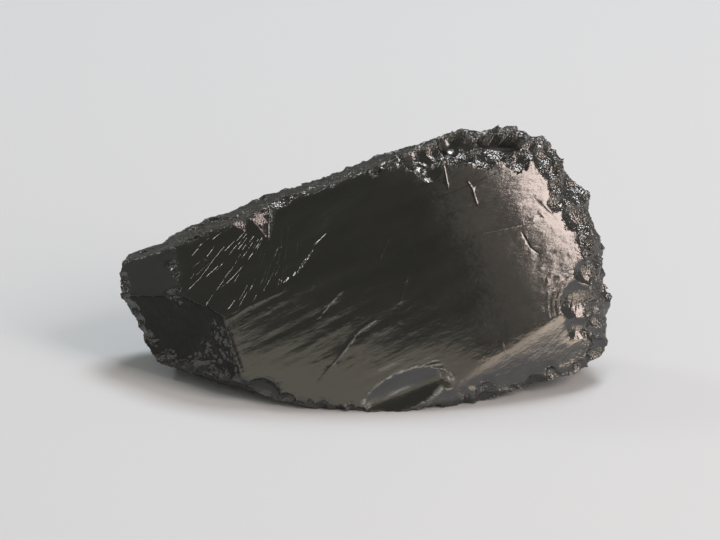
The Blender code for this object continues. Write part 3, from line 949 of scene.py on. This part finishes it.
def big_face_relief(points):
    """Height of all that the big face carries, in mm. The next two do the same."""
    height = torn(points, BIG_FACE_TEARS + CREST_TEARS + GLEAMS)
    height = height + streaks(points) + crinkles(points)
    return height + rolling("big_face", points) + rings(points)


def upper_left_relief(points):
    marks = torn(points, HACKLES + CREST_TEARS)
    return marks + rolling("upper_left", points) + shoulder(points)


def lower_right_relief(points):
    height = LOWER_STREAKS * streaks(points) + rolling("lower_right", points)
    return height + torn(points, GLEAMS)


RELIEF = {
    "big_face": big_face_relief,
    "lower_right": lower_right_relief,
    "upper_left": upper_left_relief,
    "left_cheek": lambda points: rolling("left_cheek", points),
}
print("relief on", ", ".join(RELIEF))

# %% [markdown]
# ## Where the detail is finest
#
# A mesh fine enough for a hair-thin tear would have millions of triangles if it were as
# fine everywhere. Only the rims, the chips on the front and the strips along the tears need
# it, so these functions say which points lie there.

# %% Rims and tears
RIM_WIDTH = 1.7             # how far the crushed rim reaches on either side of a knocked edge
TEAR_WIDTH = 0.32           # how far from a tear the mesh is finest
SPARED_WIDTH = 0.22         # how far from a tear no corner is merged away
FINE_PATCHES = [            # other patches that are splintered and finely meshed, as in_patch
    ((28.5, 8.0), (4.0, 6.0)),      # the shells on the right edge
    ((8.0, -2.0), (5.0, 4.0)),      # the long bite
    ((-19.5, 2.0), (3.0, 3.0)),     # the dull corner
]


def beside_lines(points, lines):
    """How far each point is from the nearest of the lines of (u, v) points."""
    return np.min([np.abs(beside(points, line)[0]) for line in lines], axis=0)


def beside_rims(points):
    """How far each point is from the nearest knocked edge."""
    return beside_lines(points, [line for line, _, _ in KNOCKED_EDGES])


def near_rims(points):
    """Which points lie near a knocked edge, or in one of the fine patches."""
    near = beside_rims(points) < RIM_WIDTH
    for middle, radii in FINE_PATCHES:
        near = near | (in_patch(points, middle, radii) > 0)
    return near


def near_tears(points, width):
    """Which points of the front lie within that width of a tear or a hackle."""
    lines = [tear.line for tear in BIG_FACE_TEARS + CREST_TEARS + HACKLES]
    return (beside_lines(points, lines) < width) & (points[:, 2] > 0)


print("the rims are", 2 * RIM_WIDTH, "mm wide")

# %% [markdown]
# ## The skin
#
# `skin` sends every point of a mesh out along its ray to the broken surface, and notes on
# the way how glassy and how crushed the coal is there. The material reads both notes. A
# stack of displacement textures could move the points as well, but it could not round a
# crease between two breaks, or know which of them a point has landed on.

# %% What lies along each ray
ROUGH = np.array([fracture.rough for fracture in FRACTURES])
LAYERED = np.array([fracture.layered for fracture in FRACTURES])
GLOSS = np.array([fracture.gloss for fracture in FRACTURES])
MIXED = 0.3                 # how far the notes of two breaks mix across their edge, in mm
FAINT_SAY = 0.01            # a break with less say than this is left out


def seen_from_heart(points):
    """The rays from HEART to the points, how far each break lies along them, the nearest
    point of the smooth lump, and how much each break has a say there."""
    rays = points - HEART
    rays = rays / np.linalg.norm(rays, axis=1, keepdims=True)
    flat = distances_to_faces(rays)
    smooth = HEART + rays * flat.min(axis=0)[:, None]
    say = np.exp(-(flat - flat.min(axis=0)) / MIXED)
    return rays, flat, smooth, say / say.sum(axis=0)


def only_where(wanted, height, points):
    """A height worked out only for the wanted points, and nought for the rest."""
    result = np.zeros(len(points))
    if wanted.any():
        result[wanted] = height(points[wanted])
    return result


def bumpy_faces(flat, smooth, say):
    """How far each break lies along the rays, once it is crushed, bedded and marked."""
    broken = only_where(ROUGH @ say > FAINT_SAY, crushed, smooth)
    bedded = only_where(LAYERED @ say > FAINT_SAY, layers, smooth)
    bumps = ROUGH[:, None] * broken + LAYERED[:, None] * bedded
    faces = flat + np.where(np.isfinite(flat), bumps, 0.0)
    for i, fracture in enumerate(FRACTURES):
        if fracture.name in RELIEF:
            close = say[i] > FAINT_SAY
            faces[i, close] += RELIEF[fracture.name](smooth[close])
    return faces


print(int((ROUGH > 0).sum()), "breaks are crushed and", int((LAYERED > 0).sum()), "bedded")

# %% Drawing points onto the broken surface
BIG_FACE, UPPER_LEFT = 0, 2     # their places in the list of breaks
GRITTY = 1.3                # how splintered a crushed break is, to how crushed it is
SPLINTERED = 0.05           # coal less gritty than this has no splinters
WORN = 0.24                 # how splintered the knocked edges are
WORN_WIDTH = 0.6            # how far from a knocked edge that reaches, in mm
UNEVEN = 0.5                # how far the bites stray from true eggs, in mm
UNEVEN_SIZE = 1.4           # how far apart those bumps are, in mm
DULL = 0.3                  # coal less glassy than this is dull
CRUMBLED = ((-20.8, 1.6), (4.2, 3.4))   # the crumbled corner of the dull ledge, as in_patch
CRUMBLED_GRIT = 0.45        # how gritty that corner is
GLINT_SIZE = 0.45           # how far apart its glints are, in mm
GLINTS = (8.0, 2.0, 0.6)    # how sharply a glint begins, how rare it is, how glossy at most


def crumble(smooth, inside):
    """The gloss and the grit that the crumbled corner of the dull ledge adds."""
    sharp, rare, brightest = GLINTS
    patch = in_patch(smooth, *CRUMBLED)
    glints = np.clip(sharp * swell(smooth / GLINT_SIZE) - rare, 0.0, brightest) * patch
    return np.where(inside, glints, 0.0), np.where(inside, CRUMBLED_GRIT * patch, 0.0)


def skin(points):
    """Each point moved onto the broken surface, and its gloss and grit there."""
    rays, flat, smooth, say = seen_from_heart(points)
    gloss, grit = GLOSS @ say, ROUGH @ say
    faces = bumpy_faces(flat, smooth, say)
    faces[BIG_FACE] = soft_min(faces[[BIG_FACE, UPPER_LEFT]], CREST)
    reach = soft_min(faces, CREASE)

    fine = only_where(near_rims(smooth) | (grit > SPLINTERED), splinters, smooth)
    worn = WORN * np.exp(-((beside_rims(smooth) / WORN_WIDTH) ** 2))
    grit = np.clip(np.maximum(GRITTY * grit, worn), 0.0, 1.0)
    for ledge in LEDGES:
        cut = distance_to_ledge(ledge, rays)
        inside = cut < reach
        gloss = np.where(inside, ledge.gloss, gloss)
        grit = np.where(inside, ledge.rough, grit)
        if ledge.gloss < DULL:
            glints, crumbs = crumble(smooth, inside)
            gloss, grit = gloss + glints, grit + crumbs
        reach = soft_min(np.stack([reach, cut]), CREASE)
    reach = reach + grit * fine
    uneven = UNEVEN * swell(smooth / UNEVEN_SIZE)
    for bite in BITES + CHIPS:
        cut = distance_to_bite(bite, rays) + bite.rough * (fine + uneven)
        inside = cut < reach
        gloss = np.where(inside, bite.gloss, gloss)
        grit = np.where(inside, bite.rough, grit)
        reach = np.minimum(reach, cut)
    return HEART + rays * reach[:, None], gloss, grit


tip = skin(np.array([(-60.0, 16.0, 2.5)]))[0][0]
print("the left tip is drawn at", tip.round(1).tolist())

# %% [markdown]
# ## A cleaved block
#
# The skin needs a mesh to move that is already close to the lump, or its squares would be
# stretched. A ball would be simpler but too far off. So a cube is cleaved by the flat of
# every break, just as the coal was.

# %% A cleaved block
BLOCK = 110.0               # edge of the block that the lump is cleaved from


def cleaved_block():
    """A cube cut down by the flat of every fracture."""
    block = bmesh.new()
    bmesh.ops.create_cube(block, size=BLOCK)
    for face in FRACTURES:
        geometry = block.verts[:] + block.edges[:] + block.faces[:]
        cut = bmesh.ops.bisect_plane(
            block, geom=geometry, plane_co=face.at, plane_no=face.looks, clear_outer=True
        )
        rim = [e for e in cut["geom_cut"] if isinstance(e, bmesh.types.BMEdge)]
        bmesh.ops.edgenet_fill(block, edges=rim)
    bmesh.ops.recalc_face_normals(block, faces=block.faces)
    mesh = bpy.data.meshes.new("lump")
    block.to_mesh(mesh)
    block.free()
    return mesh


lump = bpy.data.objects.new("broken_lump", cleaved_block())
bpy.context.scene.collection.objects.link(lump)
print(len(lump.data.polygons), "flats on the block")

# %% [markdown]
# ## Covering it with a skin
#
# A voxel remesh covers the block with even squares. Its first, coarse cover is moved out to
# the broken surface, so that the second, fine one lies where it will stay and comes out
# evenly spread. The modifiers' results are kept as the object's own mesh, because the skin
# has to move real points.

# %% Tools for the mesh
SKIN_CELLS = (1.2, 0.56)    # spacing of the skin's vertices, first coarse, then fine


def get_corners(mesh):
    """The mesh's points as rows of an array."""
    flat = np.empty(len(mesh.vertices) * 3)
    mesh.vertices.foreach_get("co", flat)
    return flat.reshape(-1, 3)


def set_corners(mesh, points):
    mesh.vertices.foreach_set("co", points.ravel())
    mesh.update()


def keep_modifier(thing):
    """Makes a modifier's result the object's own mesh."""
    view = bpy.context.evaluated_depsgraph_get()
    view.update()
    thing.data = bpy.data.meshes.new_from_object(thing.evaluated_get(view))
    thing.modifiers.clear()


def cover(thing, cell):
    """Covers an object with even squares."""
    remesh = thing.modifiers.new("cover", "REMESH")
    remesh.mode = "VOXEL"
    remesh.voxel_size = cell
    keep_modifier(thing)


# %% Two covers
coarse, fine = SKIN_CELLS
cover(lump, coarse)
set_corners(lump.data, skin(get_corners(lump.data))[0])
cover(lump, fine)
print(len(lump.data.polygons), "squares cover it")

# %% [markdown]
# ## More points where the detail is
#
# The squares on the front are split once, those on the rims and along the tears twice, and
# the tears' own strips a third time. Multiresolution would split them all alike. When the
# skin has moved them, the flattest corners are merged again until the mesh is light enough
# to share, but none close to a tear, whose thin lips would blur.

# %% Splitting and thinning
TRIANGLES = 196_000         # how many are left in the end
FRONT = -0.05               # how squarely a face must look forwards to be split
SPLIT_AGAIN = 0.2           # coal more crushed than this is split twice


def thin(thing, wanted, spared):
    """Merges the flattest corners until about the wanted number of triangles is left, and
    keeps those that are spared."""
    there = sum(len(face.vertices) - 2 for face in thing.data.polygons)
    others = thing.vertex_groups.new(name="others")
    others.add(np.flatnonzero(~spared).tolist(), 1.0, "REPLACE")
    decimate = thing.modifiers.new("thin", "DECIMATE")
    decimate.ratio = wanted / there
    decimate.vertex_group = others.name
    keep_modifier(thing)
    thing.vertex_groups.clear()


def split(mesh, wanted):
    """Splits the front squares whose corners are wanted into four."""
    work = bmesh.new()
    work.from_mesh(mesh)
    work.normal_update()
    edges = set()
    for face in work.faces:
        if face.normal.z > FRONT and all(wanted[corner.index] for corner in face.verts):
            edges.update(face.edges)
    bmesh.ops.subdivide_edges(work, edges=list(edges), cuts=1, use_grid_fill=True)
    work.to_mesh(mesh)
    work.free()


def smooth_points(mesh):
    """Where the mesh's corners fall on the smooth lump, and the breaks' say there."""
    _, _, smooth, say = seen_from_heart(get_corners(mesh))
    return smooth, say


# %% The finest skin
split(lump.data, np.ones(len(lump.data.vertices), bool))
smooth, say = smooth_points(lump.data)
detailed = near_rims(smooth) | near_tears(smooth, TEAR_WIDTH)
split(lump.data, (ROUGH @ say > SPLIT_AGAIN) | detailed)
split(lump.data, near_tears(smooth_points(lump.data)[0], TEAR_WIDTH))
print(len(lump.data.polygons), "after splitting the rims and the tears")

spared = near_tears(smooth_points(lump.data)[0], SPARED_WIDTH)
set_corners(lump.data, skin(get_corners(lump.data))[0])
thin(lump, TRIANGLES, spared)
drawn, gloss, grit = skin(get_corners(lump.data))
print(len(lump.data.vertices), "points in the skin")

# %% [markdown]
# ## Setting it on its underside
#
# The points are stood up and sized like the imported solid, and the two notes go with them as
# attributes, which any number of materials can read. Smooth shading would make the edges
# of the breaks look like wax, so those that turn sharply are marked as sharp.

# %% Standing it up
SHARP = math.radians(40.0)  # an edge that turns more than this stays sharp


def note(mesh, name, values):
    """Keeps one number for each point of the mesh, for the material to read."""
    attribute = mesh.attributes.new(name, "FLOAT", "POINT")
    attribute.data.foreach_set("value", np.asarray(values, np.float32))


set_corners(lump.data, placed(drawn))
note(lump.data, "gloss", gloss)
note(lump.data, "grit", grit)
lump.data.shade_smooth()
lump.data.set_sharp_from_angle(angle=SHARP)
triangles = sum(len(face.vertices) - 2 for face in lump.data.polygons)
print(triangles, "triangles")

# %% [markdown]
# ## A short way to add shader nodes
#
# Materials are built from nodes and links. Written out, each node takes several lines that
# hide what it is for. `add` makes one node, and takes its settings and what goes into its
# sockets together: a number or colour is set there, and another node's output is linked.

# %% Adding a node
def add(tree, kind, sockets=None, **settings):
    """A new node in the tree, with its settings and what goes into its sockets."""
    node = tree.nodes.new(kind)
    for name, value in settings.items():
        setattr(node, name, value)
    for name, value in (sockets or {}).items():
        if isinstance(value, bpy.types.NodeSocket):
            tree.links.new(value, node.inputs[name])
        else:
            node.inputs[name].default_value = value
    return node


# %% [markdown]
# ## The grain of coal
#
# Fine scratches run along the beds, crushed coal is covered in flakes too small for the
# mesh, and it carries a little grey dust, which also lies as a thin film in smears. A
# picture of coal could be wrapped round the lump, but noise in the object's own space has
# no seams and stays sharp close up. Both finishes share it, so it is one node group, which
# puts out a height for the bump, a colour and a roughness.

# %% The scratches and the film of dust
GRAINS = 1500.0             # scratches to the metre
STRETCH = (5.0, 1.0, 1.0)   # how much longer than wide they are, and the smears with them
FLAKES = 3200.0             # flakes to the metre
SMEARS = 260.0              # smears of dust to the metre
BARE, SMEARED = 0.40, 0.70  # the noise at which the film begins, and is thickest
CLEAN_COAL = (0.002, 0.002, 0.0016, 1.0)
DUSTY_COAL = (0.024, 0.024, 0.023, 1.0)
DULL_ROUGHNESS, GLASSY_ROUGHNESS = 0.45, 0.09
SMEAR_ROUGHNESS = 0.10      # how much the smears add to either


def attribute(tree, name):
    """The note of that name, which the mesh carries for each of its points."""
    return add(tree, "ShaderNodeAttribute", attribute_name=name).outputs["Fac"]


def math_node(tree, operation, *values, clamp=False):
    """The result of one sum on numbers or other nodes' outputs."""
    inputs = dict(enumerate(values))
    node = add(tree, "ShaderNodeMath", inputs, operation=operation, use_clamp=clamp)
    return node.outputs["Value"]


def grain_group():
    """Grain that both finishes share: Scratches is their height and Film the most dust."""
    group = bpy.data.node_groups.new("coal_grain", "ShaderNodeTree")
    for name in ("Scratches", "Film"):
        group.interface.new_socket(name, in_out="INPUT", socket_type="NodeSocketFloat")
    for name, kind in (("Height", "Float"), ("Colour", "Color"), ("Roughness", "Float")):
        group.interface.new_socket(name, in_out="OUTPUT", socket_type="NodeSocket" + kind)
    given = add(group, "NodeGroupInput").outputs
    place = add(group, "ShaderNodeTexCoord").outputs["Object"]
    turned = {"Vector": place, "Rotation": (0.0, -BED_TILT, 0.0), "Scale": STRETCH}
    bedded = add(group, "ShaderNodeMapping", turned, vector_type="TEXTURE").outputs["Vector"]

    fine = {"Vector": bedded, "Scale": GRAINS, "Detail": 4.0, "Roughness": 0.6}
    scratches = add(group, "ShaderNodeTexNoise", fine).outputs["Fac"]
    cells = {"Vector": place, "Scale": FLAKES}
    flakes = add(group, "ShaderNodeTexVoronoi", cells).outputs["Distance"]
    chipped = math_node(group, "MULTIPLY", flakes, attribute(group, "grit"))
    height = math_node(group, "MULTIPLY_ADD", scratches, given["Scratches"], chipped)

    broad = {"Vector": bedded, "Scale": SMEARS, "Detail": 6.0, "Roughness": 0.65}
    smears = add(group, "ShaderNodeTexNoise", broad).outputs["Fac"]
    layer = {"Value": smears, "From Min": BARE, "From Max": SMEARED, "To Max": given["Film"]}
    film = add(group, "ShaderNodeMapRange", layer).outputs["Result"]
    dusty = math_node(group, "ADD", attribute(group, "grit"), film, clamp=True)
    tones = {"Factor": dusty, "A": CLEAN_COAL, "B": DUSTY_COAL}
    colour = add(group, "ShaderNodeMix", tones, data_type="RGBA").outputs["Result"]

    ends = {"To Min": DULL_ROUGHNESS, "To Max": GLASSY_ROUGHNESS}
    shine = {"Value": attribute(group, "gloss"), **ends}
    clean = add(group, "ShaderNodeMapRange", shine).outputs["Result"]
    rough = math_node(group, "MULTIPLY_ADD", smears, SMEAR_ROUGHNESS, clean)
    results = {"Height": height, "Colour": colour, "Roughness": rough}
    add(group, "NodeGroupOutput", results)
    return group


grain = grain_group()
print("the grain has", len(grain.nodes), "nodes")

# %% [markdown]
# ## Glassy coal and dull coal
#
# Coal is black, so nearly all of its look is reflection. The body colour is close to
# nothing and the index of refraction is high, near that of dense flint glass. The dull bands
# of the same coal are charcoal-like and reflect far less, so they are a second material
# with the same grain, on the faces whose note says that they are dull.

# %% The two finishes
COAL_INDEX = 1.9            # its index of refraction
GRAIN_HEIGHT = 0.00015      # what a height of one in the grain stands for, in metres
FINISHES = [
    # name, shine (one half is all of the reflection), height of the scratches, most dust
    ("anthracite", 0.5, 0.22, 0.32),
    ("dull_anthracite", 0.12, 0.22, 0.32),
]


def coal_material(name, shine, scratches, film):
    """Black glass under the shared grain."""
    material = bpy.data.materials.new(name)
    material.use_nodes = True
    tree = material.node_tree
    shader = tree.nodes["Principled BSDF"]
    shader.inputs["IOR"].default_value = COAL_INDEX
    shader.inputs["Specular IOR Level"].default_value = shine
    given = {"Scratches": scratches, "Film": film}
    shared = add(tree, "ShaderNodeGroup", given, node_tree=grain)
    raised = {"Height": shared.outputs["Height"], "Distance": GRAIN_HEIGHT}
    bump = add(tree, "ShaderNodeBump", raised)
    tree.links.new(bump.outputs["Normal"], shader.inputs["Normal"])
    tree.links.new(shared.outputs["Colour"], shader.inputs["Base Color"])
    tree.links.new(shared.outputs["Roughness"], shader.inputs["Roughness"])
    return material


lump.data.materials.clear()
for finish in FINISHES:
    lump.data.materials.append(coal_material(*finish))
for face in lump.data.polygons:
    if gloss[list(face.vertices)].mean() < DULL:
        face.material_index = 1
print("finished in", ", ".join(m.name for m in lump.data.materials))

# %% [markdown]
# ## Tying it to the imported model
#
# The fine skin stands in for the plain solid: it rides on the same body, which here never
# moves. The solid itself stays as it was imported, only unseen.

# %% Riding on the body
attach(lump, "root")
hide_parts("coal_lump")
print(lump.name, "stands in for coal_lump")
